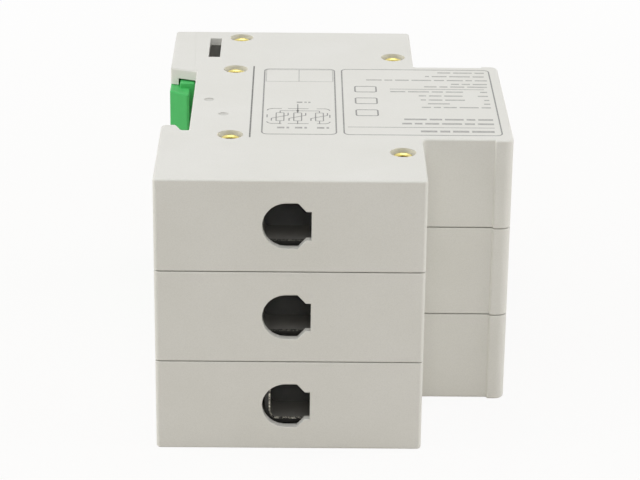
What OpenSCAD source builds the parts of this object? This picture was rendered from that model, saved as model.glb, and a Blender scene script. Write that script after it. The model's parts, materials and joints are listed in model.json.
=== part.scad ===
// Surge arrester for a 35 mm top-hat rail: identical narrow poles, riveted side by side.
// It lies on one side face. In a pole, u runs from the rail side to the front of the nose, v from the
// line end to the earth end, and z from the flat cover to the moulded side wall.

/* [Poles] */
// Number of poles side by side
poles = 3; // [1:1:3]
// Spacing of the poles
pole_pitch = 18; // [17.6:0.1:20]
// Gap between neighbouring cases
pole_gap = 0.2; // [0.1:0.05:0.3]

/* [Case] */
// Length of the case from the line end to the earth end
case_len = 90; // [88:0.5:96]
// Depth from the rail side to the terminal shoulders
shoulder_u = 49.6; // [48.4:0.2:53.4]
// Depth from the rail side to the front of the nose
nose_u = 66.8; // [66:0.2:71.2]
// Distance from the line end to the nose
nose_start = 22.7; // [22:0.1:23.3]
// Length of the nose
nose_len = 43.9; // [43.2:0.1:45]
// Wall of the case
wall = 1.5; // [1.2:0.1:1.7]
// Length of the raised lip at the front of the nose
lip_len = 3.5; // [2.5:0.1:4.5]
// Height of that lip above the nose wall
lip_proud = 0.65; // [0.3:0.05:0.9]
// Rounding of the front corners of the nose
nose_corner_r = 1.8; // [1:0.1:2.4]
// Rounding of the other outer corners
corner_r = 0.8; // [0.4:0.1:1.2]
// Thickness of the flat cover
cover_t = 1.5; // [1.2:0.1:1.8]
// Width of the ledge that the cover lies on
ledge = 0.75; // [0.5:0.05:0.9]
// Clearance round the edge of the cover
cover_clear = 0.1; // [0.05:0.05:0.2]
// Depth by which the foot of the clip is set in from the side faces
foot_step = 0.1; // [0.05:0.05:0.3]

/* [Rail recess] */
// Depth of the recess for the rail
rail_depth = 5.4; // [5:0.1:5.8]
// Distance from the line end to the recess
rail_start = 26.9; // [26:0.1:27.8]
// Length of the recess, for a 35 mm rail
rail_width = 35.7; // [35.3:0.1:36.2]
// Overhang of the fixed hook
hook_reach = 3; // [2:0.1:3.5]
// Thickness of the fixed hook at its tip
hook_t = 3.2; // [2.4:0.1:3.4]
// Gap for the rail flange behind the hook
flange_gap = 1.4; // [1.2:0.1:1.6]
// Slope of the recess wall at the clip, from its floor to the back
foot_flare = 2.3; // [1:0.1:3]

/* [Rail clip] */
// Width of the clip's wide part, which runs in the case
clip_w = 13.4; // [12:0.1:13.6]
// Width of the clip's narrow part, which shows at the back
clip_neck_w = 10.6; // [8:0.1:11]
// Thickness of the whole clip
clip_t = 5; // [4.6:0.1:5]
// Thickness of the case lips that hold the clip in
clip_lip_t = 1.6; // [1.3:0.1:1.9]
// Reach of the clip's hook past the recess wall
clip_reach = 4.8; // [4:0.1:5]
// Reach of the clip's wide part past the recess wall
clip_wide_reach = 2.3; // [1.5:0.1:2.6]
// Set-back of the clip's slanted front from the hook's tip to the back
clip_slant = 3; // [2:0.1:4]
// Thickness of that hook
clip_hook_t = 4; // [3.4:0.1:4]
// Length of the pull tab beyond the case
clip_tab = 4; // [3.4:0.2:6]
// Travel of the clip from closed to open
clip_travel = 5; // [4.6:0.1:6]
// Sliding clearance of the clip
clip_clear = 0.12; // [0.08:0.02:0.2]

/* [Wire entries] */
// Radius of the round side of a wire entry
entry_r = 4.4; // [4.2:0.05:4.6]
// Depth of the entry's centre from the rail side
entry_u = 24.15; // [24:0.05:24.6]
// Straight stretch after the round side
entry_flat = 2.1; // [1.6:0.1:2.4]
// Length of the slanted corners
entry_slant = 1.5; // [1:0.1:1.8]
// Width of the narrow end
entry_neck_w = 5.5; // [4.4:0.1:6]
// Length of the narrow end
entry_neck = 0.95; // [0.6:0.05:1.2]

/* [Terminals] */
// Distance of a terminal's axis from the end of the case
terminal_v = 6.2; // [6.2:0.1:6.8]
// Length of the clamp cage along the wire
cage_len = 7; // [6:0.1:7.2]
// Inner width of the cage
cage_in_w = 7.3; // [7:0.1:7.8]
// Inner height of the cage, from its floor to its threaded wall
cage_in_u = 13; // [12.6:0.1:13.4]
// Sheet of the cage
cage_t = 1.1; // [0.9:0.1:1.3]
// Threaded wall of the cage
cage_nut_t = 2.2; // [1.8:0.1:2.4]
// Depth of the open cage's floor from the rail side
cage_floor_u = 20; // [19.6:0.1:20.2]
// Rise of the first pole's line cage, which stands partly drawn up
cage_drawn = 1.3; // [0:0.1:2]
// Travel of a cage from open to closed
cage_travel = 6; // [5:0.1:6]
// Radius of the terminal screw
screw_r = 2.5; // [2:0.1:2.6]
// Radius of the screw's head
screw_head_r = 3.3; // [3.2:0.1:3.6]
// Length of the screw's head
screw_head_len = 3; // [2.4:0.1:3.4]
// Clearance of the screw in the cage's thread
thread_clear = 0.05; // [0.03:0.01:0.1]
// Radius of the screwdriver hole in the shoulder
access_r = 3; // [2.9:0.05:3.1]
// Rib of the case under the screw's head
rib_t = 1.6; // [1.2:0.1:1.8]
// Sheet of the contact strips
contact_t = 1.2; // [0.8:0.1:1.4]
// Width of the contact strips
contact_w = 6.4; // [5:0.1:6.6]

/* [Protection] */
// Length of the varistor block
varistor_len = 32; // [26:0.5:33]
// Height of the varistor block
varistor_u = 29; // [24:0.5:29.5]
// Thickness of the varistor block
varistor_t = 8; // [6:0.2:8.4]
// Sheet of the electrodes
electrode_t = 0.8; // [0.5:0.1:1]
// Inset of the electrodes from the varistor's edges
electrode_inset = 3; // [2:0.2:4]
// Width of the hot electrode's tab
tab_w = 6; // [4:0.2:7]
// Thickness of the link bar between the poles
bar_t = 1.6; // [1:0.1:2]
// Width of the link bar
bar_w = 12; // [8:0.2:12.4]
// Clearance of the link bar in its slots
bar_clear = 0.4; // [0.2:0.05:0.5]

/* [Trip indicator] */
// Length of the window in the nose
window_len = 7.6; // [6:0.2:8]
// Width of the window
window_w = 6; // [4:0.2:7]
// Border of the window pane round its opening
pane_border = 0.6; // [0.4:0.1:0.9]
// Thickness of the window pane
pane_t = 0.8; // [0.5:0.1:1]
// Travel of the trip slider
trip_travel = 8; // [6:0.2:9]
// Thickness of the indicator flag
flag_t = 2; // [1.4:0.1:2.2]
// Width of the indicator flag
flag_w = 12; // [11:0.2:12.4]
// Running clearance of the flag in its guides
flag_clear = 0.2; // [0.1:0.05:0.3]
// Length of the trip spring when set
spring_len = 13; // [11:0.5:13.5]
// Mean radius of the trip spring
spring_r = 1.9; // [1.4:0.1:2.1]
// Radius of the spring wire
spring_wire_r = 0.3; // [0.2:0.05:0.35]

/* [Rivets] */
// Radius of a rivet's tube
rivet_r = 1.5; // [1.2:0.1:1.6]
// Radius of the hollow in a rivet
rivet_bore_r = 0.9; // [0.6:0.1:1]
// Radius of a rivet's rolled head
rivet_head_r = 1.85; // [1.8:0.05:2.1]
// Radius of the sink round a rivet's head
sink_r = 2.45; // [2.3:0.05:2.6]
// Depth of that sink
sink_depth = 1.5; // [1.3:0.1:1.5]
// Radius of the boss round a rivet
boss_r = 3.2; // [3:0.1:3.3]
// Distance of the two inner rivets from the floor of the recess
rivet_floor_u = 7.9; // [7.6:0.1:8.2]
// Distance of the rivet at the clip from the end of the recess
rivet_clip_v = 1.6; // [1.4:0.1:2]
// Distance of the rivet at the fixed hook from the end of the recess
rivet_hook_v = 2.6; // [2.2:0.1:3]
// Distance of the corner rivet from the floor of the recess
rivet_corner_u = 8.6; // [8.3:0.1:8.9]
// Distance of the corner rivet from the earth end
rivet_corner_v = 4.3; // [4.1:0.1:4.5]
// Distance of the shoulder rivets from the shoulders
rivet_shoulder_u = 4; // [3.8:0.1:4.2]
// Distance of a shoulder rivet from the earth end
rivet_earth_v = 17.2; // [16.8:0.1:17.6]
// Distance of a shoulder rivet from the line end
rivet_line_v = 15.1; // [14.8:0.1:15.5]

/* [Hidden] */
$fn = 48;
cut = 0.5;
arc_steps = 5;
seat = 0.05;
end_gap = 0.2;

// Small roundings of the mouldings
lip_r = 0.75 * lip_proud;
lip_fillet_r = 0.15 * lip_proud;
foot_r = 0.5;
recess_r = 0.3;
flange_r = 0.5;
hook_r = 0.7;
hook_back_r = 1.2;
hook_slope = 0.4;
inner_r = 0.4;

case_t = pole_pitch - pole_gap;
mid = case_t / 2;
floor_z = case_t - wall;
inner_h = floor_z - cover_t;
rail_end = rail_start + rail_width;
nose_end = nose_start + nose_len;
nose_mid = (nose_start + nose_end) / 2;
stack_h = poles * pole_pitch - pole_gap;
whole_len = case_len + clip_tab;

// Places of the rivets, from the recess, the shoulders and the two ends
rivet_spots = [
    [rail_depth + rivet_corner_u, case_len - rivet_corner_v],
    [rail_depth + rivet_floor_u, rail_end + rivet_clip_v],
    [rail_depth + rivet_floor_u, rail_start - rivet_hook_v],
    [shoulder_u - rivet_shoulder_u, case_len - rivet_earth_v],
    [shoulder_u - rivet_shoulder_u, rivet_line_v],
];
hole_clear = 0.1;
tail_t = 0.6;

// Shallow round mould marks on the side wall
mark_r = 1;
mark_depth = 0.15;
mark_spots = [
    [rail_depth + 3.15, nose_mid + 0.1],
    [rail_depth + 6.25, nose_mid - 8.45],
];

// Terminal: the cage rises towards the shoulder as the screw turns
cage_back_u = cage_floor_u - cage_t;
cage_nut_u = cage_floor_u + cage_in_u;
cage_top_u = cage_nut_u + cage_nut_t;
rib_u = cage_top_u + cage_travel + end_gap;
screw_head_u = rib_u + rib_t + end_gap;
contact_drop = 1.6;
contact_u = cage_nut_u - contact_drop - contact_t;
contact_over = 0.4;
screw_tip_gap = 0.1;
screw_tip_u = contact_u + contact_t + screw_tip_gap;
screw_tip = 0.5;
drive_w = 0.9;
drive_len = 4.8;
drive_depth = 1.6;
rib_past = 5;
rib_len = terminal_v + rib_past - wall;
rib_clear = 0.15;
rib_slot_r = screw_r + rib_clear;
post_gap = 0.9;
post_v = terminal_v + cage_len / 2 + post_gap;
post_len = 3;
post_rim = 1;
fold_r = 2.4;
fold_inner_r = 1.3;
nut_edge_r = 0.8;
nut_inner_r = 0.3;

// Varistor and its electrodes, held between ribs of the case and of the cover
varistor_gap = 1.7;
varistor_r = 2;
varistor_u0 = shoulder_u - wall - varistor_gap - varistor_u;
varistor_top_u = varistor_u0 + varistor_u;
varistor_v0 = nose_mid - varistor_len / 2;
hot_z = mid + varistor_t / 2;
cold_z = mid - varistor_t / 2 - electrode_t;
electrode_u0 = varistor_u0 + electrode_inset;
electrode_u = varistor_u - 2 * electrode_inset;
electrode_v0 = varistor_v0 + electrode_inset;
electrode_len = varistor_len - 2 * electrode_inset;
pad_w = 4;
pad_inset = 1;
overlap = 1;

// Earth side: the strap runs from the varistor to the link bar and the earth terminal
bar_gap = 0.9;
bar_u = rail_depth + wall + bar_gap;
bar_back = 17.4;
bar_v = case_len - bar_back;
bar_end = pole_pitch / 3;
strap_gap = 0.6;
strap_v = rail_end + rivet_clip_v + boss_r + strap_gap;
strap_reach = 7;
strap_w = 9;

// Trip mechanism in the nose: the flag and slider hang from its front, the braid runs midway below
flag_u = nose_u - wall - flag_clear - flag_t;
flag_over = 0.8;
flag_v0 = nose_mid - window_len / 2 - trip_travel - flag_over;
flag_len = window_len + trip_travel + 2 * flag_over;
guide_t = 1.1;
guide_hold = 1;
guide_depth = mid - flag_w / 2 + guide_hold;
leg_v = nose_start + wall;
guide_v = leg_v + 5.5;
guide_end = nose_end - wall - 1;
spring_post_len = 3.4;
spring_post_w = 4.4;
spring_post_z = 2.5;
spring_v = leg_v + spring_post_len;
slider_len = 10;
slider_w = 7;
slider_depth = 6;
slider_u = flag_u - slider_depth;
slider_v = spring_v + spring_len;
axis_u = slider_u + slider_depth / 2;
solder_gap = 0.1;
blade_t = 0.9;
blade_z = hot_z - solder_gap - blade_t;
blade_w = 5;
blade_gap = 0.4;
blade_u = varistor_top_u + blade_gap;
blade_end_u = slider_u + slider_depth - 1;
blade_v = slider_v + 1.5;
tab_v = slider_v + 1;
tab_end_u = blade_u + 6.5;
leg_end_u = slider_u - 1;
braid_t = 0.8;
braid_w = 4;
braid_u = (varistor_top_u + slider_u - braid_t) / 2;
braid_sway = 1.5;
braid_steps = 16;
braid_v0 = leg_v + contact_t;
braid_v1 = slider_v + 3;
spring_turns = 6;
spring_steps = 10 * spring_turns;
spring_sides = 6;

// Rail clip: its ends, its pull tab and the stop that runs in its slot
clip_end = case_len - 0.5;
clip_tip_r = 0.4;
clip_edge_r = 0.3;
clip_neck_step = 0.6;
way_start = rail_end - 1;
foot_inset = 0.4;
foot_taper = 0.8;
pull_w = clip_neck_w - 2;
pull_inset = 1;
pull_wall = 0.8;
pull_slot_len = 1.6;
pull_slot_w = 5.6;
stop_v = case_len - 10;
stop_len = 1.5;
stop_w = 4;
stop_h = 1.6;
stop_gap = 0.1;
stop_side = 0.2;

POLE_NODES = [
    "case", "cover", "rail_clip", "line_clamp", "line_screw", "line_contact", "earth_clamp", "earth_screw",
    "earth_strap", "varistor", "hot_electrode", "trip_slider", "trip_contact", "trip_spring", "braid", "window",
];

// Rounded outlines: each corner is [u, v, radius]
function place(p) = [p[0], p[1]];
function unit(a) = a / norm(a);
function arc(centre, r, from, sweep) =
    [for (i = [0:arc_steps]) centre + r * [cos(from + sweep * i / arc_steps), sin(from + sweep * i / arc_steps)]];
function corner(before, at, after, r) =
    let (
        d1 = unit(before - at),
        d2 = unit(after - at),
        half = acos(d1 * d2) / 2,
        centre = at + unit(d1 + d2) * r / sin(half),
        first = at + d1 * r / tan(half) - centre,
        last = at + d2 * r / tan(half) - centre,
        from = atan2(first.y, first.x),
        sweep = (atan2(last.y, last.x) - from + 540) % 360 - 180
    )
    arc(centre, r, from, sweep);
function rounded(points) =
    let (n = len(points))
    [for (i = [0:n - 1]) each corner(
        place(points[(i + n - 1) % n]), place(points[i]), place(points[(i + 1) % n]), points[i][2])];

// Outline of the case: rail side, line end, nose and earth end
case_outline = [
    [0, 0, corner_r],
    [shoulder_u, 0, corner_r],
    [shoulder_u, nose_start, corner_r],
    [nose_u - lip_len, nose_start, lip_fillet_r],
    [nose_u - lip_len, nose_start - lip_proud, lip_r],
    [nose_u, nose_start - lip_proud, nose_corner_r],
    [nose_u, nose_end + lip_proud, nose_corner_r],
    [nose_u - lip_len, nose_end + lip_proud, lip_r],
    [nose_u - lip_len, nose_end, lip_fillet_r],
    [shoulder_u, nose_end, corner_r],
    [shoulder_u, case_len, corner_r],
    [0, case_len, corner_r],
    [0, rail_end + foot_flare, foot_r],
    [rail_depth, rail_end, recess_r],
    [rail_depth, rail_start, recess_r],
    [rail_depth - flange_gap, rail_start, flange_r],
    [hook_t - hook_slope, rail_start + hook_reach, hook_r],
    [0, rail_start + hook_reach, hook_back_r],
];

// Outline inside the case, at a given distance from its outer faces
function inner_outline(w) = [
    [rail_depth + w, w, inner_r],
    [shoulder_u - w, w, inner_r],
    [shoulder_u - w, nose_start + w, inner_r],
    [nose_u - w, nose_start + w, inner_r],
    [nose_u - w, nose_end - w, inner_r],
    [shoulder_u - w, nose_end - w, inner_r],
    [shoulder_u - w, case_len - w, inner_r],
    [rail_depth + w, case_len - w, inner_r],
];

// Puts a pole's pieces in their place in the row
module pole(k) {
    translate([-nose_u / 2, -whole_len / 2, (k - 1) * pole_pitch])
        children();
}

// Draws the same thing at the line end and at the earth end
module both_ends() {
    children();
    earth_end() children();
}

module earth_end() {
    translate([0, case_len, 0])
        mirror([0, 1, 0])
            children();
}

// A cylinder along u
module u_rod(u, v, r, h) {
    translate([u, v, mid])
        rotate([0, 90, 0])
            cylinder(r = r, h = h);
}

// Moulded tub
module case_shell() {
    difference() {
        linear_extrude(case_t)
            polygon(rounded(case_outline));
        translate([0, 0, cover_t - cut])
            linear_extrude(inner_h + cut)
                polygon(rounded(inner_outline(wall)));
        translate([0, 0, -cut])
            linear_extrude(cover_t + cut)
                polygon(rounded(inner_outline(wall - ledge)));
    }
}

module rivet_bosses() {
    for (spot = rivet_spots)
        translate([spot.x, spot.y, cover_t])
            cylinder(r = boss_r, h = inner_h + wall / 2);
}

module terminal_ribs() {
    difference() {
        translate([rib_u, wall / 2, cover_t])
            cube([rib_t, rib_len + wall / 2, inner_h + wall / 2]);
        u_rod(rib_u - cut, terminal_v, rib_slot_r, rib_t + 2 * cut);
        translate([rib_u - cut, terminal_v - rib_slot_r, cover_t - cut])
            cube([rib_t + 2 * cut, 2 * rib_slot_r, mid - cover_t + cut]);
    }
    translate([contact_u - post_rim, post_v, mid + contact_w / 2])
        cube([contact_t + 2 * post_rim, post_len, floor_z - mid - contact_w / 2 + wall / 2]);
}

// Pads that hold the varistor pack, at the corners of its electrode
module varistor_pads(z, h) {
    for (u = [electrode_u0 + pad_inset, electrode_u0 + electrode_u - pad_w - pad_inset])
        for (v = [electrode_v0 + pad_inset, electrode_v0 + electrode_len - pad_w - pad_inset])
            translate([u, v, z])
                cube([pad_w, pad_w, h]);
}

// Rib that guides one edge of the indicator flag
module flag_guide(z, h) {
    translate([flag_u - flag_clear - guide_t, guide_v, z])
        cube([guide_t, guide_end - guide_v, h]);
}

module spring_post() {
    translate([axis_u - spring_post_w / 2, leg_v - wall / 2, mid - spring_post_z])
        cube([spring_post_w, spring_post_len + wall / 2, floor_z - mid + spring_post_z + wall / 2]);
}

module wire_entry() {
    neck_u = entry_u + entry_flat + entry_slant;
    translate([0, wall + cut, 0])
        rotate([90, 0, 0])
            linear_extrude(wall + 2 * cut) {
                translate([entry_u, mid])
                    circle(r = entry_r);
                polygon([
                    [entry_u, mid - entry_r],
                    [entry_u + entry_flat, mid - entry_r],
                    [neck_u, mid - entry_neck_w / 2],
                    [neck_u + entry_neck, mid - entry_neck_w / 2],
                    [neck_u + entry_neck, mid + entry_neck_w / 2],
                    [neck_u, mid + entry_neck_w / 2],
                    [entry_u + entry_flat, mid + entry_r],
                    [entry_u, mid + entry_r],
                ]);
            }
}

module rivet_holes() {
    for (spot = rivet_spots)
        translate([spot.x, spot.y, 0]) {
            translate([0, 0, -cut])
                cylinder(r = rivet_r + hole_clear, h = case_t + 2 * cut);
            translate([0, 0, case_t - sink_depth])
                cylinder(r = sink_r, h = sink_depth + cut);
        }
}

module mould_marks() {
    for (spot = mark_spots)
        translate([spot.x, spot.y, case_t - mark_depth])
            cylinder(r = mark_r, h = mark_depth + cut);
}

module bar_slot() {
    translate([bar_u - bar_clear, bar_v - bar_clear, -cut])
        cube([bar_t + 2 * bar_clear, bar_w + 2 * bar_clear, case_t + 2 * cut]);
}

// T-shaped way for the clip, open at the back, at the recess and at the earth end
module clip_way() {
    way_len = case_len - way_start + cut;
    translate([clip_lip_t, way_start, mid - clip_w / 2 - clip_clear])
        cube([clip_t - clip_lip_t + clip_clear, way_len, clip_w + 2 * clip_clear]);
    translate([-cut, way_start, mid - clip_neck_w / 2 - clip_clear])
        cube([clip_lip_t + 2 * cut, way_len, clip_neck_w + 2 * clip_clear]);
}

module window_opening() {
    translate([nose_u - wall - cut, nose_mid - window_len / 2, mid - window_w / 2])
        cube([wall + 2 * cut, window_len, window_w]);
    translate([nose_u - pane_t, nose_mid - window_len / 2 - pane_border, mid - window_w / 2 - pane_border])
        cube([pane_t + cut, window_len + 2 * pane_border, window_w + 2 * pane_border]);
}

// Shallow step round the clip's foot, a little narrower towards the earth end
module foot_relief() {
    for (z = [-cut, case_t - foot_step])
        translate([0, 0, z])
            linear_extrude(foot_step + cut)
                polygon([
                    [-cut, way_start],
                    [rail_depth - foot_inset, way_start],
                    [rail_depth - foot_inset - foot_taper, case_len + cut],
                    [-cut, case_len + cut],
                ]);
}

// Stop that runs in a slot of the clip
module clip_stop() {
    translate([clip_t + clip_clear - stop_h, stop_v, mid - stop_w / 2])
        cube([stop_h + wall / 2, stop_len, stop_w]);
}

module case(k) {
    color([0.87, 0.865, 0.845])
        pole(k) {
            difference() {
                union() {
                    case_shell();
                    rivet_bosses();
                    both_ends() terminal_ribs();
                    varistor_pads(hot_z + electrode_t, floor_z - hot_z - electrode_t + wall / 2);
                    flag_guide(case_t - guide_depth, guide_depth - wall / 2);
                    spring_post();
                }
                both_ends() wire_entry();
                both_ends() u_rod(shoulder_u - wall - cut, terminal_v, access_r, wall + 2 * cut);
                rivet_holes();
                mould_marks();
                bar_slot();
                clip_way();
                window_opening();
                foot_relief();
            }
            clip_stop();
        }
}

// Flat cover, let in flush with the case, with ribs against the varistor pack and the flag
module cover(k) {
    color([0.85, 0.845, 0.825])
        pole(k)
            difference() {
                union() {
                    linear_extrude(cover_t)
                        polygon(rounded(inner_outline(wall - ledge + cover_clear)));
                    varistor_pads(cover_t / 2, cold_z - cover_t / 2);
                    flag_guide(cover_t / 2, guide_depth - cover_t / 2);
                }
                bar_slot();
                for (spot = rivet_spots)
                    translate([spot.x, spot.y, -cut]) {
                        cylinder(r = rivet_r + hole_clear, h = cover_t + 2 * cut);
                        cylinder(r = sink_r, h = cover_t / 2 + cut);
                    }
            }
}

// Outline of the clip from a given depth up, with a slanted front whose tip reaches past the recess wall
function clip_outline(back_u, reach) = [
    [back_u, rail_end - reach + clip_slant * (1 - back_u / clip_hook_t), clip_edge_r],
    [clip_hook_t, rail_end - reach, clip_tip_r],
    [clip_hook_t, rail_end + clip_neck_step / 2, clip_edge_r],
    [clip_t, rail_end + 1.5 * clip_neck_step, clip_edge_r],
    [clip_t, clip_end, clip_edge_r],
    [back_u, clip_end, clip_edge_r],
];

// Rail clip: a T-section slider with a hook for the rail and a pull tab for a screwdriver
module rail_clip(k) {
    color([0.34, 0.70, 0.42])
        pole(k)
            difference() {
                union() {
                    translate([0, 0, mid - clip_neck_w / 2])
                        linear_extrude(clip_neck_w)
                            polygon(rounded(clip_outline(0, clip_reach)));
                    translate([0, 0, mid - clip_w / 2])
                        linear_extrude(clip_w)
                            polygon(rounded(clip_outline(clip_lip_t + clip_clear, clip_wide_reach)));
                    translate([pull_inset, clip_end - overlap, mid - pull_w / 2])
                        cube([clip_t - 2 * pull_inset, case_len + clip_tab - clip_end + overlap, pull_w]);
                }
                translate([-cut, case_len + pull_wall, mid - pull_slot_w / 2])
                    cube([clip_t + 2 * cut, pull_slot_len, pull_slot_w]);
                translate([clip_t - stop_h - stop_gap, stop_v - clip_travel - stop_gap, mid - stop_w / 2 - stop_side])
                    cube([stop_h + cut, clip_travel + stop_len + 2 * stop_gap, stop_w + 2 * stop_side]);
            }
}

// Clamp cage: a folded steel box round the wire, drawn up by its screw
module clamp_cage(rise) {
    half = cage_in_w / 2;
    outer = [
        [cage_back_u, mid - half - cage_t, fold_r],
        [cage_top_u, mid - half - cage_t, nut_edge_r],
        [cage_top_u, mid + half + cage_t, nut_edge_r],
        [cage_back_u, mid + half + cage_t, fold_r],
    ];
    inner = [
        [cage_floor_u, mid - half, fold_inner_r],
        [cage_nut_u, mid - half, nut_inner_r],
        [cage_nut_u, mid + half, nut_inner_r],
        [cage_floor_u, mid + half, fold_inner_r],
    ];
    translate([rise, 0, 0])
        difference() {
            translate([0, terminal_v + cage_len / 2, 0])
                rotate([90, 0, 0])
                    linear_extrude(cage_len)
                        polygon(rounded(outer));
            translate([0, terminal_v + cage_len / 2 + cut, 0])
                rotate([90, 0, 0])
                    linear_extrude(cage_len + 2 * cut)
                        polygon(rounded(inner));
            u_rod(cage_nut_u - cut, terminal_v, screw_r + thread_clear, cage_nut_t + 2 * cut);
        }
}

// Terminal screw with a cross slot in its head
module terminal_screw() {
    difference() {
        union() {
            translate([screw_tip_u, terminal_v, mid])
                rotate([0, 90, 0])
                    cylinder(r1 = screw_r - screw_tip, r2 = screw_r, h = screw_tip);
            u_rod(screw_tip_u + screw_tip, terminal_v, screw_r, screw_head_u - screw_tip_u - screw_tip);
            u_rod(screw_head_u, terminal_v, screw_head_r, screw_head_len);
        }
        for (turn = [0, 90])
            translate([screw_head_u + screw_head_len - drive_depth, terminal_v, mid])
                rotate([turn, 0, 0])
                    translate([0, -drive_len / 2, -drive_w / 2])
                        cube([drive_depth + cut, drive_len, drive_w]);
    }
}

module line_clamp(k) {
    color([0.24, 0.24, 0.23])
        pole(k)
            clamp_cage(k == 1 ? cage_drawn : 0);
}

module earth_clamp(k) {
    color([0.24, 0.24, 0.23])
        pole(k)
            earth_end() clamp_cage(0);
}

module line_screw(k) {
    color([0.72, 0.72, 0.70])
        pole(k)
            terminal_screw();
}

module earth_screw(k) {
    color([0.72, 0.72, 0.70])
        pole(k)
            earth_end() terminal_screw();
}

// Strip from the line terminal up into the nose
module line_contact(k) {
    contact_v0 = terminal_v - cage_len / 2 - contact_over;
    color([0.80, 0.52, 0.30])
        pole(k)
            translate([0, 0, mid - contact_w / 2])
                linear_extrude(contact_w)
                    polygon([
                        [contact_u, contact_v0],
                        [contact_u + contact_t, contact_v0],
                        [contact_u + contact_t, leg_v],
                        [leg_end_u, leg_v],
                        [leg_end_u, leg_v + contact_t],
                        [contact_u, leg_v + contact_t],
                    ]);
}

// Strap from the varistor to the link bar and to the earth terminal
module earth_strap(k) {
    end_v = case_len - terminal_v + cage_len / 2 + contact_over;
    color([0.80, 0.52, 0.30])
        pole(k) {
            translate([electrode_u0, electrode_v0, cold_z])
                cube([electrode_u, electrode_len, electrode_t]);
            translate([contact_u + contact_t - strap_w, electrode_v0 + electrode_len - overlap, cold_z])
                cube([strap_w, strap_v + contact_t - electrode_v0 - electrode_len + overlap, electrode_t]);
            translate([0, 0, cold_z])
                linear_extrude(mid + contact_w / 2 - cold_z)
                    polygon([
                        [bar_u + bar_t, strap_v],
                        [contact_u + contact_t, strap_v],
                        [contact_u + contact_t, strap_v + contact_t],
                        [bar_u + bar_t + contact_t, strap_v + contact_t],
                        [bar_u + bar_t + contact_t, bar_v + strap_reach],
                        [bar_u + bar_t, bar_v + strap_reach],
                    ]);
            translate([contact_u, strap_v, mid - contact_w / 2])
                cube([contact_t, end_v - strap_v, contact_w]);
        }
}

module varistor(k) {
    color([0.20, 0.30, 0.55])
        pole(k)
            translate([0, 0, mid - varistor_t / 2])
                linear_extrude(varistor_t)
                    polygon(rounded([
                        [varistor_u0, varistor_v0, varistor_r],
                        [varistor_top_u, varistor_v0, varistor_r],
                        [varistor_top_u, varistor_v0 + varistor_len, varistor_r],
                        [varistor_u0, varistor_v0 + varistor_len, varistor_r],
                    ]));
}

// Electrode on the line side of the varistor, with the tab that the trip blade is soldered to
module hot_electrode(k) {
    color([0.80, 0.52, 0.30])
        pole(k) {
            translate([electrode_u0, electrode_v0, hot_z])
                cube([electrode_u, electrode_len, electrode_t]);
            translate([electrode_u0 + electrode_u - overlap, tab_v, hot_z])
                cube([tab_end_u - electrode_u0 - electrode_u + overlap, tab_w, electrode_t]);
        }
}

// Slider that carries the indicator flag
module trip_slider(k) {
    color([0.75, 0.16, 0.13])
        pole(k) {
            translate([flag_u, flag_v0, mid - flag_w / 2])
                cube([flag_t, flag_len, flag_w]);
            translate([slider_u, slider_v, blade_z - slider_w])
                cube([slider_depth + flag_t / 2, slider_len, slider_w]);
        }
}

module trip_contact(k) {
    color([0.80, 0.52, 0.30])
        pole(k)
            translate([blade_u, blade_v, blade_z])
                cube([blade_end_u - blade_u, blade_w, blade_t]);
}

// Compression spring between the post of the case and the slider
function coil_point(i, j) =
    let (
        a = 360 * spring_turns * i / spring_steps,
        b = 360 * j / spring_sides,
        r = spring_r + spring_wire_r * cos(b),
        run = spring_len - 2 * spring_wire_r
    )
    [
        axis_u + r * cos(a),
        spring_v + spring_wire_r + run * i / spring_steps + spring_wire_r * sin(b),
        mid + r * sin(a),
    ];
module trip_spring(k) {
    points = [for (i = [0:spring_steps]) for (j = [0:spring_sides - 1]) coil_point(i, j)];
    last = spring_steps * spring_sides;
    sides = [
        for (i = [0:spring_steps - 1]) for (j = [0:spring_sides - 1])
            let (a = i * spring_sides, b = a + spring_sides, n = (j + 1) % spring_sides)
            each [[a + j, a + n, b + n], [a + j, b + n, b + j]]
    ];
    ends = [
        [for (j = [spring_sides - 1:-1:0]) j],
        [for (j = [0:spring_sides - 1]) last + j],
    ];
    color([0.70, 0.70, 0.70])
        pole(k)
            polyhedron(points, concat(sides, ends));
}

// Flexible lead from the line contact to the trip blade
module braid(k) {
    function sway(i) = braid_u + braid_sway * sin(360 * i / braid_steps);
    function along(i) = braid_v0 + (braid_v1 - braid_v0) * i / braid_steps;
    color([0.72, 0.45, 0.27])
        pole(k)
            translate([0, 0, blade_z - braid_w])
                linear_extrude(braid_w)
                    polygon(concat(
                        [for (i = [0:braid_steps]) [sway(i), along(i)]],
                        [for (i = [braid_steps:-1:0]) [sway(i) + braid_t, along(i)]]
                    ));
}

module window(k) {
    border = pane_border - seat;
    color([0.85, 0.90, 0.92, 0.4])
        pole(k)
            translate([nose_u - pane_t, nose_mid - window_len / 2 - border, mid - window_w / 2 - border])
                cube([pane_t, window_len + 2 * border, window_w + 2 * border]);
}

// Bar that joins the earth sides of the poles
module earth_link_bar() {
    color([0.72, 0.68, 0.60])
        pole(1)
            translate([bar_u, bar_v, bar_end])
                cube([bar_t, bar_w, stack_h - 2 * bar_end]);
}

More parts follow.
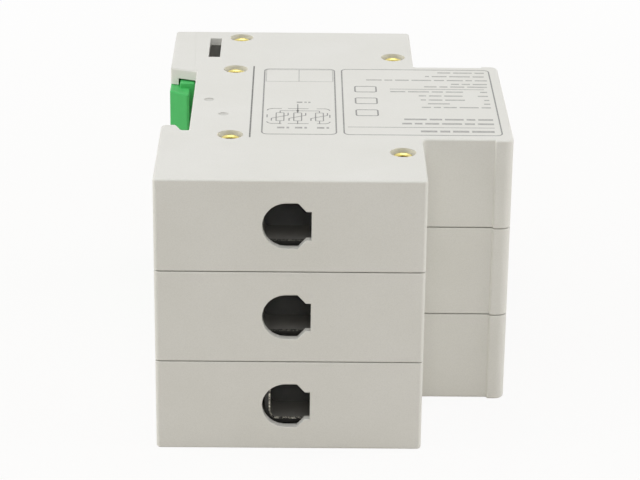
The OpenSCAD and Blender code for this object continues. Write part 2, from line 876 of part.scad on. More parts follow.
// Hollow rivets through the whole stack, with rolled heads in the sinks
module rivets() {
    roll_r = (rivet_head_r - rivet_bore_r) / 2;
    ring_r = rivet_bore_r + roll_r;
    tail_z = cover_t / 2 - tail_t;
    head_z = stack_h - sink_depth + roll_r;
    color([0.80, 0.66, 0.30])
        pole(1)
            for (spot = rivet_spots)
                translate([spot.x, spot.y, 0])
                    difference() {
                        union() {
                            translate([0, 0, tail_z])
                                cylinder(r = rivet_r, h = head_z - tail_z);
                            translate([0, 0, head_z])
                                rotate_extrude()
                                    translate([ring_r, 0])
                                        circle(r = roll_r);
                            translate([0, 0, tail_z])
                                cylinder(r = rivet_head_r, h = tail_t);
                        }
                        translate([0, 0, -cut])
                            cylinder(r = rivet_bore_r, h = stack_h + 2 * cut);
                    }
}

for (k = [1:poles]) {
    case(k);
    cover(k);
    rail_clip(k);
    line_clamp(k);
    line_screw(k);
    line_contact(k);
    earth_clamp(k);
    earth_screw(k);
    earth_strap(k);
    varistor(k);
    hot_electrode(k);
    trip_slider(k);
    trip_contact(k);
    trip_spring(k);
    braid(k);
    window(k);
}
earth_link_bar();
rivets();
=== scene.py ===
"""Looks of a three-pole surge arrester for a top-hat rail, which lies on one side face."""
import json
import math

import bmesh
import bpy
from mathutils import Matrix, Vector


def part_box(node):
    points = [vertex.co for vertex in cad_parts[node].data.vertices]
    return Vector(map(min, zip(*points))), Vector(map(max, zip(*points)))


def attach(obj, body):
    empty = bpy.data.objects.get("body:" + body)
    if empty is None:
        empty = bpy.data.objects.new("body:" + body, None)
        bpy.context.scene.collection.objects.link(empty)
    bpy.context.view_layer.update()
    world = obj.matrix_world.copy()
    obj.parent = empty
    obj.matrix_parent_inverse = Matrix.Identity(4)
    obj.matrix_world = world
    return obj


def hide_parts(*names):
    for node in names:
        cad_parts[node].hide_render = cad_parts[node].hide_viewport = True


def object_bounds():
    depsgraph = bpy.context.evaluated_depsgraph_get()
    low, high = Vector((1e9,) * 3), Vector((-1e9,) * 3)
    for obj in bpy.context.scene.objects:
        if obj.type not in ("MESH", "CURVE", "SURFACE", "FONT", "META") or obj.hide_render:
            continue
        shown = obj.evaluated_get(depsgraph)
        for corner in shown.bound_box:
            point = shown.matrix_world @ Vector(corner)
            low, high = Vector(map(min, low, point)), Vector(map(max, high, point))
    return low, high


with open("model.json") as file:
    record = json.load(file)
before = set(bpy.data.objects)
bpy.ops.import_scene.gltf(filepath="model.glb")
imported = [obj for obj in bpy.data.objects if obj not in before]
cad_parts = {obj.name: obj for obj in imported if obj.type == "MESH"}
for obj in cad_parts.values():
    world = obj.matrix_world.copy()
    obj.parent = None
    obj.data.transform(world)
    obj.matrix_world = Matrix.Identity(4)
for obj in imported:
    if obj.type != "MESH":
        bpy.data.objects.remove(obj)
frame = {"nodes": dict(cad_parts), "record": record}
CAD_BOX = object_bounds()

MM = 0.001
POLES = (1, 2, 3)

# Corners of the cases in the frame
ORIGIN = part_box("case_1")[0]
CASE_LOW, CASE_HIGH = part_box("case_3")
STACK_TOP = CASE_HIGH.z

# Places on the part in millimetres: u runs from the rail side to the nose, v from the line end
SHOULDER_U = 49.6
FLAG_SPLIT_V = 40.65

# Roundings of the edges
OUTER_EDGE = 0.45 * MM
SEAM_EDGE = 0.16 * MM
HOLE_EDGE = 0.12 * MM
CLIP_EDGE = 0.3 * MM
MOULDED_SEGMENTS = 3
FINE_SEGMENTS = 2
FLAT_WEIGHT = 100
SHARP = math.radians(30)

# Widths of the fine bevels on the other pieces, in millimetres
FINE_EDGE = {
    "cover": 0.1, "line_clamp": 0.15, "earth_clamp": 0.15, "line_screw": 0.15, "earth_screw": 0.15,
    "line_contact": 0.1, "earth_strap": 0.1, "varistor": 0.6, "hot_electrode": 0.08, "trip_slider": 0.15,
    "trip_contact": 0.08, "trip_spring": None, "braid": 0.08, "window": 0.08,
}
LINK_BAR_EDGE = 0.15

# Limits within which points, places and directions count as the same
SAME_POINT = 1e-6
NO_LENGTH = 1e-7
SAME_PLANE = 1e-5
SAME_NORMAL = 1e-3
FLAT_ANGLE = math.radians(0.4)

# Low step round the clip's foot: too low to be rounded, so the material draws it on the side face
FOOT_STEP = 0.1 * MM
STEP_MARGIN = 1.1
FOOT_LINE = ((5.0, 62.6), (4.2, 90.0))

# Shallow mould marks in the side face, with a floor painted darker than the grain around them as painted
# shade
MARK_SPOTS = ((8.55, 44.75), (11.65, 36.2))
MARK_RADIUS = 1.0 * MM
MARK_DEPTH = 0.15 * MM

# Face of the clip behind its hook, in millimetres: a little proud of the foot wall, with a gap round it
FOOT_WALL_V = 62.6
CLIP_PROUD = 0.3
MOUTH_GAP = 0.25
HOOK_W = 10.6
HOOK_MARGIN = 0.01
WIDE_W = 13.4
WIDE_START_U = 1.72

# Boxes round the corners of that face, beside the hook and behind it
WIDE_FRONT = ((1.6, 60.2), (5.05, 63.9))
STEP_FRONT = ((3.85, 62.5), (5.05, 63.9))

# Clamp cages: bent sheet, with a front painted dark as painted shade, and flecks on the inner edge of its
# mouth that are worn to the metal and painted bright as a painted highlight
SHEET = 1.1 * MM
FOLD = 1.3 * MM
RIM_DEPTH = 0.3 * MM
FLECK_REACH = 0.3 * MM
WORN_GLINT_CLAMP = "line_clamp_1"

# View of the photograph
CAMERA_AT = Vector((-7.066, -454.184, 206.815)) * MM
CAMERA_YAW = math.radians(0.549)
CAMERA_PITCH = math.radians(22.001)
CAMERA_ROLL = math.radians(0.652)
CAMERA_LENS = 136.37
SENSOR_W = 36.0
CLIP_START = 10 * MM

# Light: places and sizes in metres, powers in watts
SKY_LEVEL = 0.09
LAMP_AT = Vector((-0.1, -0.25, 1.2))
LAMP_SIZE = 1.6
LAMP_POWER = 12.7
SIDE_AT = (Vector((-0.85, 0.0, 0.32)), Vector((0.85, 0.0, 0.32)))
SIDE_SIZE = 0.6
SIDE_POWER = 4.0
FILL_AT = (Vector((0.0, -0.93, 0.37)), Vector((0.0, 0.93, 0.37)))
FILL_SIZE = 0.3
FILL_POWER = 1.0

# Floor, which whitens away from the part
FLOOR_SIZE = 2.5
FLOOR_CELLS = 8
FLOOR_DROP = 0.02 * MM
WHITE_FROM, WHITE_TO = 0.1, 0.4
GLOW_NEAR, GLOW_FAR = 0.9, 1.0


def spot(u, v):
    """A point given in millimetres on the lowest side face, in the frame."""
    return ORIGIN + Vector((u, v, 0.0)) * MM


def linear(red, green, blue):
    """A colour given as it looks on a screen, 0 to 255, as the shader takes it."""
    def channel(value):
        value /= 255
        return value / 12.92 if value <= 0.04045 else ((value + 0.055) / 1.055) ** 2.4
    return (channel(red), channel(green), channel(blue), 1.0)


# Materials

BLACK = linear(0, 0, 0)
WHITE = linear(255, 255, 255)
PIT_SHADE = linear(247, 247, 246)
# Painted shade on the floors of the mould marks
MARK_SHADE_COLOUR = linear(206, 205, 200)
# Flecks of worn metal on the cages, painted bright as a painted highlight as well
WORN_GLINT_METAL = linear(236, 232, 216)
RUBBED_GLINT_METAL = linear(128, 126, 118)


class Paint:
    """One procedural material: a principled shader and short ways to add nodes to it."""

    def __init__(self, name, **constants):
        self.material = bpy.data.materials.new(name)
        self.material.use_nodes = True
        self.tree = self.material.node_tree
        self.shader = self.tree.nodes["Principled BSDF"]
        for socket, value in constants.items():
            self.shader.inputs[socket.replace("_", " ")].default_value = value
        self.place = self.add("ShaderNodeTexCoord").outputs["Object"]

    def add(self, kind, inputs=None, **settings):
        """A new node, with each input linked to a socket or set to a constant."""
        node = self.tree.nodes.new(kind)
        for name, value in settings.items():
            setattr(node, name, value)
        for socket, value in (inputs or {}).items():
            if isinstance(value, bpy.types.NodeSocket):
                self.tree.links.new(value, node.inputs[socket])
            else:
                node.inputs[socket].default_value = value
        return node

    def feed(self, socket, value):
        self.tree.links.new(value, self.shader.inputs[socket])

    def stretched(self, scale):
        return self.add("ShaderNodeMapping", {"Vector": self.place, "Scale": scale}).outputs["Vector"]

    def noise(self, scale, detail=3.0, roughness=0.55, place=None):
        wanted = {"Vector": place or self.place, "Scale": scale, "Detail": detail, "Roughness": roughness}
        return self.add("ShaderNodeTexNoise", wanted).outputs["Fac"]

    def ramp(self, value, *stops):
        """A colour that runs between two stops, each a position and a colour."""
        node = self.add("ShaderNodeValToRGB", {"Fac": value})
        for element, (position, colour) in zip(node.color_ramp.elements, stops):
            element.position = position
            element.color = colour
        return node.outputs["Color"]

    def between(self, value, low, high):
        wanted = {"Value": value, "To Min": low, "To Max": high}
        return self.add("ShaderNodeMapRange", wanted).outputs["Result"]

    def math(self, operation, a, b=0.0):
        return self.add("ShaderNodeMath", {0: a, 1: b}, operation=operation).outputs["Value"]

    def blend(self, factor, a, b, kind="MIX"):
        """A mix of two colours, which are inputs 6 and 7 of the node."""
        node = self.add("ShaderNodeMix", {0: factor, 6: a, 7: b}, data_type="RGBA", blend_type=kind)
        return node.outputs[2]

    def bump(self, height, strength, distance, normal=None):
        wanted = {"Height": height, "Strength": strength, "Distance": distance}
        if normal:
            wanted["Normal"] = normal
        return self.add("ShaderNodeBump", wanted).outputs["Normal"]

    def axis(self, name):
        return self.add("ShaderNodeSeparateXYZ", {"Vector": self.place}).outputs[name]


def moulding(name, pale, deep, grain=5200.0, gloss=(0.46, 0.6), relief=None, dull=None):
    """Moulded plastic: fine grain and faint flow clouds, with a low relief and, if given, marks whose
    floors get painted shade.
    """
    paint = Paint(name, Specular_IOR_Level=0.42)
    clouds = paint.noise(scale=55.0, detail=4.0)
    colour = paint.ramp(clouds, (0.3, deep), (0.7, pale))
    if dull:
        # Painted shade: the floors of the marks take a darker colour
        colour = paint.blend(dull(paint), colour, MARK_SHADE_COLOUR)
    grains = paint.noise(scale=grain, detail=4.0, roughness=0.65)
    pits = paint.ramp(grains, (0.25, PIT_SHADE), (0.6, WHITE))
    paint.feed("Base Color", paint.blend(1.0, colour, pits, "MULTIPLY"))
    paint.feed("Roughness", paint.between(grains, *gloss))
    shaped = paint.bump(relief(paint), strength=1.0, distance=FOOT_STEP) if relief else None
    waves = paint.noise(scale=140.0, detail=2.0)
    wavy = paint.bump(waves, strength=0.03, distance=0.2 * MM, normal=shaped)
    paint.feed("Normal", paint.bump(grains, strength=0.06, distance=0.02 * MM, normal=wavy))
    return paint.material


def foot_relief(paint):
    """1 on the side face and 0 on the foot that lies a little lower."""
    start, end = (spot(*point) for point in FOOT_LINE)
    lean = (end.x - start.x) / (end.y - start.y)
    along = paint.math("SUBTRACT", paint.axis("Y"), start.y)
    line = paint.math("ADD", paint.math("MULTIPLY", along, lean), start.x)
    before_line = paint.math("LESS_THAN", paint.axis("X"), line)
    past_start = paint.math("GREATER_THAN", along, 0.0)
    on_foot = paint.math("MULTIPLY", before_line, past_start)
    on_side = paint.math("GREATER_THAN", paint.axis("Z"), STACK_TOP - FOOT_STEP)
    return paint.math("SUBTRACT", 1.0, paint.math("MULTIPLY", on_foot, on_side))


def mark_floors(paint):
    """1 on the floors of the two shallow mould marks in the side face, where painted shade darkens them."""
    floors = []
    for u, v in MARK_SPOTS:
        middle = Vector((*spot(u, v).xy, STACK_TOP - MARK_DEPTH))
        away = paint.add("ShaderNodeVectorMath", {0: paint.place, 1: middle}, operation="DISTANCE")
        floors.append(paint.math("LESS_THAN", away.outputs["Value"], MARK_RADIUS))
    return paint.math("MAXIMUM", *floors)


def flag_plastic():
    """Moulded flag: green where the window shows it at rest, red behind that."""
    paint = Paint("flag_plastic", Specular_IOR_Level=0.4)
    tripped = paint.math("LESS_THAN", paint.axis("Y"), spot(0, FLAG_SPLIT_V).y)
    clouds = paint.noise(scale=90.0)
    green = paint.ramp(clouds, (0.35, linear(84, 172, 92)), (0.65, linear(96, 186, 104)))
    red = paint.ramp(clouds, (0.35, linear(186, 34, 28)), (0.65, linear(202, 44, 36)))
    paint.feed("Base Color", paint.blend(tripped, green, red))
    grains = paint.noise(scale=4200.0, detail=4.0)
    paint.feed("Roughness", paint.between(grains, 0.4, 0.55))
    paint.feed("Normal", paint.bump(grains, strength=0.1, distance=0.03 * MM))
    return paint.material


def metal(name, bright, dull, run, gloss=(0.24, 0.5), scratch=0.12):
    """Rolled or drawn metal: lines along the working direction and patches of tarnish."""
    paint = Paint(name, Metallic=1.0)
    lines = paint.noise(scale=1.0, detail=4.0, roughness=0.6, place=paint.stretched(run))
    patches = paint.noise(scale=120.0, detail=5.0, roughness=0.6)
    paint.feed("Base Color", paint.ramp(patches, (0.35, dull), (0.65, bright)))
    paint.feed("Roughness", paint.between(paint.math("ADD", lines, patches), *gloss))
    paint.feed("Normal", paint.bump(lines, strength=scratch, distance=0.03 * MM))
    return paint.material


def mouth_depth(paint, node):
    """How far a point lies inside a cage's mouth, which faces the nearest end of the part."""
    low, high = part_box(node)
    if node.startswith("line"):
        return paint.math("SUBTRACT", paint.axis("Y"), low.y)
    return paint.math("SUBTRACT", high.y, paint.axis("Y"))


def sheet_depth(paint, node):
    """How far a point of a cage lies in its sheet from the inner side, also round the folds."""
    low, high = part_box(node)
    middle = (low.z + high.z) / 2
    half = (high.z - low.z) / 2
    past_floor = paint.math("SUBTRACT", low.x + SHEET + FOLD, paint.axis("X"))
    aside = paint.math("ABSOLUTE", paint.math("SUBTRACT", paint.axis("Z"), middle))
    past_wall = paint.math("SUBTRACT", aside, half - SHEET - FOLD)
    squares = []
    for past in (past_floor, past_wall):
        squares.append(paint.math("POWER", paint.math("MAXIMUM", past, 0.0), 2.0))
    round_fold = paint.math("SQRT", paint.math("ADD", *squares))
    inward = paint.math("MINIMUM", paint.math("MAXIMUM", past_floor, past_wall), 0.0)
    return paint.math("SUBTRACT", paint.math("ADD", round_fold, inward), FOLD)


def clamp_steel(node):
    """Sheet of one cage, its front painted dark as painted shade, with flecks along the inner edge of its
    mouth that are worn to the metal and painted bright as a painted highlight.
    """
    paint = Paint(node + "_steel", Specular_IOR_Level=0.5)
    patches = paint.noise(scale=220.0, detail=5.0, roughness=0.6)
    inside = paint.ramp(patches, (0.35, linear(145, 143, 138)), (0.65, linear(160, 158, 153)))
    # Painted shade: the front of the sheet at the mouth is coloured dark, and the inside lighter
    front = paint.ramp(patches, (0.35, linear(46, 45, 43)), (0.65, linear(56, 55, 52)))
    at_front = paint.math("LESS_THAN", mouth_depth(paint, node), RIM_DEPTH)
    at_edge = paint.math("LESS_THAN", sheet_depth(paint, node), FLECK_REACH)
    # Flecks worn to the metal, also painted bright as a painted highlight
    wear = paint.noise(scale=2400.0, detail=4.0, roughness=0.7)
    rubbed = paint.ramp(wear, (0.44, BLACK), (0.6, WHITE))
    bare_and_glint = paint.math("MULTIPLY", paint.math("MULTIPLY", at_front, at_edge), rubbed)
    coat = paint.blend(at_front, inside, front)
    bright = WORN_GLINT_METAL if node == WORN_GLINT_CLAMP else RUBBED_GLINT_METAL
    paint.feed("Base Color", paint.blend(bare_and_glint, coat, bright))
    paint.feed("Metallic", paint.between(bare_and_glint, 0.2, 0.5))
    paint.feed("Roughness", paint.between(patches, 0.36, 0.52))
    grains = paint.noise(scale=1500.0, detail=3.0)
    paint.feed("Normal", paint.bump(grains, strength=0.15, distance=0.03 * MM))
    return paint.material


def braid_copper():
    """Flat woven lead: two families of fine strands that cross on the slant."""
    paint = Paint("copper_braid", Metallic=1.0)
    strands = []
    for slant in (0.7, -0.7):
        turn = {"Vector": paint.place, "Rotation": (slant, 0.0, 0.0)}
        turned = paint.add("ShaderNodeMapping", turn).outputs["Vector"]
        bands = {"Vector": turned, "Scale": 620.0, "Distortion": 0.6}
        strands.append(paint.add("ShaderNodeTexWave", bands, bands_direction="Y").outputs["Fac"])
    weave = paint.math("MAXIMUM", *strands)
    paint.feed("Base Color", paint.ramp(weave, (0.2, linear(96, 50, 28)), (0.8, linear(214, 138, 92))))
    paint.feed("Roughness", paint.between(weave, 0.55, 0.3))
    paint.feed("Normal", paint.bump(weave, strength=0.5, distance=0.12 * MM))
    return paint.material


def varistor_coating():
    """Dipped epoxy coat: pebbled, glossy, a little uneven."""
    paint = Paint("varistor_coating", Specular_IOR_Level=0.5, Coat_Weight=0.3, Coat_Roughness=0.2)
    dips = paint.noise(scale=160.0, detail=4.0)
    paint.feed("Base Color", paint.ramp(dips, (0.3, linear(22, 52, 118)), (0.7, linear(34, 70, 146))))
    pebbles = paint.noise(scale=900.0, detail=3.0)
    paint.feed("Roughness", paint.between(pebbles, 0.3, 0.45))
    paint.feed("Normal", paint.bump(pebbles, strength=0.2, distance=0.1 * MM))
    return paint.material


def window_pane():
    """Clear moulded pane with a faint haze and moulding ripples."""
    paint = Paint("window_pane", IOR=1.49, Transmission_Weight=0.94)
    haze = paint.noise(scale=300.0, detail=3.0)
    paint.feed("Base Color", paint.ramp(haze, (0.3, linear(240, 244, 243)), (0.7, linear(250, 252, 251))))
    paint.feed("Roughness", paint.between(haze, 0.03, 0.09))
    ripples = paint.noise(scale=220.0, detail=2.0)
    paint.feed("Normal", paint.bump(ripples, strength=0.03, distance=0.1 * MM))
    return paint.material


def ink(name, full, thin):
    """Pad-printed ink: a little uneven, thinner here and there."""
    paint = Paint(name, Specular_IOR_Level=0.35)
    cover = paint.noise(scale=1600.0, detail=3.0, roughness=0.6)
    paint.feed("Base Color", paint.ramp(cover, (0.34, thin), (0.56, full)))
    paint.feed("Roughness", paint.between(cover, 0.5, 0.62))
    return paint.material


# Scales of the lines in worked metal, which run along one axis
ALONG, ACROSS = 60.0, 2600.0
RUN_X = (ALONG, ACROSS, ACROSS)
RUN_Y = (ACROSS, ALONG, ACROSS)
RUN_Z = (ACROSS, ACROSS, ALONG)

MATERIALS = {
    "case_plastic": moulding("case_plastic", pale=linear(226, 225, 220), deep=linear(222, 221, 215),
                             relief=foot_relief, dull=mark_floors),
    "clip_plastic": moulding("clip_plastic", pale=linear(78, 188, 104), deep=linear(70, 180, 95),
                             grain=4200.0, gloss=(0.4, 0.56)),
    "flag_plastic": flag_plastic(),
    "screw_steel": metal("screw_steel", linear(206, 205, 200), linear(176, 174, 168), RUN_X),
    "spring_steel": metal("spring_steel", linear(196, 196, 196), linear(160, 160, 162), RUN_Y,
                          gloss=(0.2, 0.42)),
    "copper_strip": metal("copper_strip", linear(222, 150, 106), linear(190, 116, 76), RUN_Y),
    "copper_braid": braid_copper(),
    "tinned_strip": metal("tinned_strip", linear(176, 175, 170), linear(150, 148, 142), RUN_Y),
    "link_bar": metal("link_bar", linear(214, 208, 194), linear(184, 178, 164), RUN_Z),
    "varistor_coating": varistor_coating(),
    "window_pane": window_pane(),
    "rivet_brass": metal("rivet_brass", linear(240, 229, 158), linear(218, 200, 112), RUN_Z,
                         gloss=(0.16, 0.38), scratch=0.06),
}
TINNED = ("line_contact", "earth_strap")
LINE_INK = ink("line_ink", full=linear(140, 140, 138), thin=linear(160, 159, 156))
RULE_INK = ink("rule_ink", full=linear(112, 112, 110), thin=linear(134, 133, 130))
TEXT_INK = ink("text_ink", full=linear(164, 163, 160), thin=linear(182, 181, 177))
FAINT_INK = ink("faint_ink", full=linear(184, 183, 179), thin=linear(198, 197, 193))


# Pieces that keep their mesh, with a finish and finely broken edges

def slot_of(node):
    return next(part["material_slot"] for part in frame["record"]["subparts"] if part["node"] == node)


def body_of(node):
    return next(body for body, nodes in frame["record"]["behaviour"]["bodies"].items() if node in nodes)


def soften(piece, width, segments, limit):
    """Rounds a piece's sharp edges and keeps its flat faces flat in the light."""
    bevel = piece.modifiers.new("edges", "BEVEL")
    bevel.limit_method = limit
    bevel.angle_limit = SHARP
    bevel.width = width
    bevel.segments = segments
    bevel.loop_slide = False
    bevel.use_clamp_overlap = limit == "ANGLE"
    shade = piece.modifiers.new("shading", "WEIGHTED_NORMAL")
    shade.keep_sharp = True
    shade.weight = FLAT_WEIGHT


def finish_of(node):
    """The material of a node: a cage has its own, and the strips at the wire entries are tinned."""
    slot = slot_of(node)
    if slot == "clamp_steel":
        return clamp_steel(node)
    if node.startswith(TINNED):
        return MATERIALS["tinned_strip"]
    return MATERIALS[slot]


def finish_node(node, width=None):
    """Gives a node its material and, where a width in millimetres is given, fine bevels."""
    piece = frame["nodes"][node]
    piece.data.materials.clear()
    piece.data.materials.append(finish_of(node))
    if width:
        weld = piece.modifiers.new("weld", "WELD")
        weld.merge_threshold = SAME_POINT
        soften(piece, width * MM, FINE_SEGMENTS, "ANGLE")


# Mouldings with rounded edges, made from the frame's own solids

def joined_mesh(node, reshape):
    """A closed copy of a node's mesh, reshaped a little, with each flat stretch joined into large faces."""
    mesh = bmesh.new()
    mesh.from_mesh(frame["nodes"][node].data)
    bmesh.ops.remove_doubles(mesh, verts=mesh.verts, dist=SAME_POINT)
    reshape(mesh)
    bmesh.ops.remove_doubles(mesh, verts=mesh.verts, dist=SAME_POINT)
    bmesh.ops.dissolve_degenerate(mesh, edges=mesh.edges, dist=NO_LENGTH)
    bmesh.ops.dissolve_limit(mesh, angle_limit=FLAT_ANGLE, verts=mesh.verts, edges=mesh.edges)
    return mesh


def lowest_and_highest(mesh):
    heights = [vert.co.z for vert in mesh.verts]
    return min(heights), max(heights)


def level_foot(mesh):
    """Raises the low step of the foot to the side face, where the material draws it."""
    for level in lowest_and_highest(mesh):
        for vert in mesh.verts:
            if 0.0 < abs(vert.co.z - level) < FOOT_STEP * STEP_MARGIN:
                vert.co.z = level


def square_clip(mesh):
    """Sets the clip's face behind its hook flat, a little proud of the foot wall, with a gap round it."""
    middle = sum(lowest_and_highest(mesh)) / 2
    reach = (WIDE_W / 2 - MOUTH_GAP) * MM
    corner = spot(WIDE_START_U + MOUTH_GAP, FOOT_WALL_V - CLIP_PROUD)
    for vert in mesh.verts:
        beside_hook = abs(vert.co.z - middle) > (HOOK_W / 2 - HOOK_MARGIN) * MM
        low, high = (spot(*point) for point in (WIDE_FRONT if beside_hook else STEP_FRONT))
        if low.x < vert.co.x < high.x and low.y < vert.co.y < high.y:
            vert.co.x = max(vert.co.x, corner.x)
            vert.co.y = corner.y
            vert.co.z = min(max(vert.co.z, middle - reach), middle + reach)


def is_sharp(edge):
    """Whether an edge stands out sharply enough to be rounded."""
    return len(edge.link_faces) == 2 and edge.calc_face_angle_signed(0.0) > SHARP


def in_plane(face, axis, value):
    """Whether a face lies square to an axis, at a place along it."""
    square = abs(abs(face.normal[axis]) - 1) < SAME_NORMAL
    return square and abs(face.calc_center_median()[axis] - value) < SAME_PLANE


def touches_plane(edge, axis, value):
    return any(in_plane(face, axis, value) for face in edge.link_faces)


def connected_runs(edges):
    """The edges in groups that hang together."""
    left = set(edges)
    while left:
        run = []
        front = [left.pop()]
        while front:
            edge = front.pop()
            run.append(edge)
            near = {other for vert in edge.verts for other in vert.link_edges if other in left}
            left -= near
            front += near
        yield run


def span_of(edges):
    places = [vert.co.x for edge in edges for vert in edge.verts]
    return max(places) - min(places)


def weigh_case_edges(mesh, pole):
    """Sets how far each edge of a case is rounded, as a share of the outer rounding."""
    weight = mesh.edges.layers.float.new("bevel_weight_edge")
    sharp = [edge for edge in mesh.edges if is_sharp(edge)]
    walls = [(0, CASE_LOW.x), (0, CASE_HIGH.x), (0, spot(SHOULDER_U, 0).x)]
    walls += [(1, CASE_LOW.y), (1, CASE_HIGH.y)]
    for edge in sharp:
        if any(touches_plane(edge, *wall) for wall in walls):
            edge[weight] = HOLE_EDGE / OUTER_EDGE
    low, high = lowest_and_highest(mesh)
    for level, outside in ((low, pole == POLES[0]), (high, pole == POLES[-1])):
        rims = connected_runs(edge for edge in sharp if touches_plane(edge, 2, level))
        outline = max(rims, key=span_of, default=[])
        for edge in outline:
            edge[weight] = 1.0 if outside else SEAM_EDGE / OUTER_EDGE


def weigh_all_edges(mesh):
    weight = mesh.edges.layers.float.new("bevel_weight_edge")
    for edge in mesh.edges:
        if is_sharp(edge):
            edge[weight] = 1.0


def keep_creases(mesh):
    """Marks the edges that stay sharp, so that shading is smooth only over curves and roundings."""
    weight = mesh.edges.layers.float["bevel_weight_edge"]
    for edge in mesh.edges:
        if len(edge.link_faces) == 2 and edge.calc_face_angle(0.0) > SHARP and edge[weight] == 0.0:
            edge.smooth = False


def add_piece(name, mesh, material, body):
    """A new piece made from a mesh, which rides on a body."""
    data = bpy.data.meshes.new(name)
    for face in mesh.faces:
        face.smooth = True
    mesh.to_mesh(data)
    mesh.free()
    data.materials.append(material)
    piece = bpy.data.objects.new(name, data)
    bpy.context.scene.collection.objects.link(piece)
    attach(piece, body)
    return piece


def add_moulding(name, mesh, node, edge):
    """Puts a reshaped mesh in the place of its node, with its weighted edges rounded."""
    keep_creases(mesh)
    slot = slot_of(node)
    piece = add_piece(name, mesh, MATERIALS[slot], body_of(node))
    soften(piece, edge, MOULDED_SEGMENTS, "WEIGHT")
    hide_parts(node)


def rounded_case(pole):
    node = f"case_{pole}"
    mesh = joined_mesh(node, level_foot)
    weigh_case_edges(mesh, pole)
    add_moulding(f"case_moulding_{pole}", mesh, node, OUTER_EDGE)


def rounded_clip(pole):
    node = f"rail_clip_{pole}"
    mesh = joined_mesh(node, square_clip)
    weigh_all_edges(mesh)
    add_moulding(f"clip_moulding_{pole}", mesh, node, CLIP_EDGE)


# Print on the side face: frames, a wiring sketch and rows of plain bars

PRINT_LOW = STACK_TOP - 0.01 * MM
PRINT_HIGH = STACK_TOP + 0.015 * MM
CORNER_STEPS = 6


def quarter_turn(u, v, radius, start):
    """Points on a quarter of a circle about a point, from a start angle in degrees."""
    turns = [math.radians(start + 90 * i / CORNER_STEPS) for i in range(CORNER_STEPS + 1)]
    return [(u + radius * math.cos(turn), v + radius * math.sin(turn)) for turn in turns]


def round_box(u0, v0, u1, v1, radius):
    """The outline of a box with rounded corners."""
    corners = ((u1 - radius, v0 + radius, -90), (u1 - radius, v1 - radius, 0),
               (u0 + radius, v1 - radius, 90), (u0 + radius, v0 + radius, 180))
    return [point for u, v, start in corners for point in quarter_turn(u, v, radius, start)]


class Print:
    """Flat ink shapes on the top side face, each a thin closed slab."""

    def __init__(self):
        self.mesh = bmesh.new()

    def lift(self, points, z):
        return [self.mesh.verts.new(Vector((*spot(u, v).xy, z))) for u, v in points]

    def walls(self, low, high):
        """A ring of faces between two loops of corners."""
        count = len(low)
        for i in range(count):
            j = (i + 1) % count
            self.mesh.faces.new((low[i], low[j], high[j], high[i]))

    def slab(self, points):
        low = self.lift(points, PRINT_LOW)
        high = self.lift(points, PRINT_HIGH)
        self.mesh.faces.new(high)
        self.mesh.faces.new(low[::-1])
        self.walls(low, high)

    def ring(self, outer, inner):
        """A slab with one hole in it."""
        outer_low = self.lift(outer, PRINT_LOW)
        outer_high = self.lift(outer, PRINT_HIGH)
        inner_low = self.lift(inner, PRINT_LOW)
        inner_high = self.lift(inner, PRINT_HIGH)
        self.walls(outer_low, outer_high)
        self.walls(inner_high, inner_low)
        self.walls(outer_high, inner_high)
        self.walls(inner_low, outer_low)

    def bar(self, u0, v0, u1, v1):
        self.slab([(u0, v0), (u1, v0), (u1, v1), (u0, v1)])

    def stroke(self, start, end, width):
        along = Vector((end[0] - start[0], end[1] - start[1])).normalized() * width / 2
        side = Vector((-along.y, along.x))
        corners = [Vector(start) - side, Vector(end) - side, Vector(end) + side, Vector(start) + side]
        self.slab([tuple(corner) for corner in corners])

    def outline(self, u0, v0, u1, v1, radius, width):
        self.ring(round_box(u0, v0, u1, v1, radius),
                  round_box(u0 + width, v0 + width, u1 - width, v1 - width, radius - width))

    def arc(self, u, v, radius, start, width):
        inner = quarter_turn(u, v, radius - width / 2, start)
        outer = quarter_turn(u, v, radius + width / 2, start)
        self.slab(outer + inner[::-1])

    def bar_row(self, v, u0, u1, height):
        """A row of plain bars of uneven length."""
        end = u1
        count = 0
        while end - u0 > BAR_LEAST:
            length = BAR_SHORT + BAR_SPREAD * ((count * BAR_TURN + v * ROW_TURN) % 1.0)
            start = max(u0, end - length)
            self.bar(start, v - height / 2, end, v + height / 2)
            end = start - BAR_GAP
            count += 1

    def place(self, name, material):
        piece = add_piece(name, self.mesh, material, "housing")
        piece.data.shade_flat()


# Widths of the printed lines
LINE_W = 0.27
THIN_W = 0.2
DASH_W = 0.22

# Frames, rules, empty cells and plain boxes
LEFT_BOX = (19.1, 24.6, 33.5, 64.6)
RIGHT_BOX = (34.7, 24.6, 64.9, 64.7)
BOX_CORNER = 1.3
SIDE_RULE_U = 17.0
SIDE_RULE_V = (22.9, 66.2)
SIDE_RULE_W = 0.3
RULES = ((29.1, 35.6, 63.6), (52.1, 44.3, 63.1))
CELL_V = (56.4, 63.9)
CELL_U = (19.6, 26.2, 33.0)
BLANK_BOX_U = (37.2, 41.7)
BLANK_BOX_V = (35.6, 42.8, 50.0)
BLANK_BOX_H = 3.8
BLANK_BOX_CORNER = 0.6
BLANK_BOX_W = 0.3

# Wiring sketch: three signs in a dashed frame, joined by a bus with a stem
SKETCH_FRAME = (20.1, 30.8, 32.2, 39.6)
SKETCH_CORNER = 1.1
TOP_DASHES = ((20.9, 22.9), (24.1, 28.1), (29.7, 31.4))
SIDE_DASH = (34.4, 36.0)
SIGN_U = (22.6, 26.0, 30.2)
SIGN_V = (32.3, 37.2)
SIGN_W = 1.7
SIGN_CORNER = 0.25
LEAD_DROP = 1.7
SLANT_LEFT, SLANT_RIGHT = 1.65, 1.55
SLANT_RISE = 0.9
TICK = 1.4
BUS_V = 38.3
STEM_U = SIGN_U[1]
STEM_V = 42.4
DOT_HALF = (0.25, 0.45)
DOT_CORNER = 0.24

